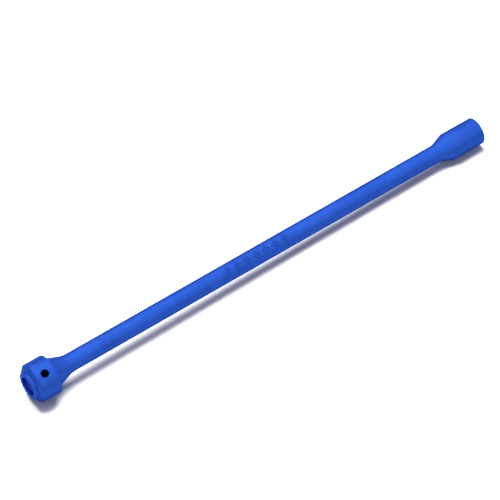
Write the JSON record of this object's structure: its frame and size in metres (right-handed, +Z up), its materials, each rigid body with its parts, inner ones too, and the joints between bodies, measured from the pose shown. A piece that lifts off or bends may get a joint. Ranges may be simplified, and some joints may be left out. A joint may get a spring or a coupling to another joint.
{
  "type": "centre driveshaft",
  "caption": "Slim round alloy driveshaft with a pinned collar hub at one end, a flared drive cup at the other and a screw pin across the hub.",
  "frame": {"origin": "centre of the hub's front face, on the shaft's axis", "axes": "+X along the shaft from the hub to the drive cup, +Z up as the shaft lies, with the screw pin's head turned 24.5 degrees from +Z towards -Y"},
  "size_m": [0.203, 0.015, 0.015],
  "materials": {
    "anodised_alloy": "satin blue anodising",
    "black_steel": "black oxide"
  },
  "bodies": {
    "shaft": {"pinned_hub": "anodised_alloy", "centre_tube": "anodised_alloy", "drive_cup": "anodised_alloy"},
    "pin": {"screw_pin": "black_steel"}
  },
  "joints": [
    {"name": "screw_pin_withdrawal", "type": "slide", "parent": "shaft", "child": "pin", "axis": [0, -0.4147, 0.91], "range_m": [0, 0.016]}
  ]
}
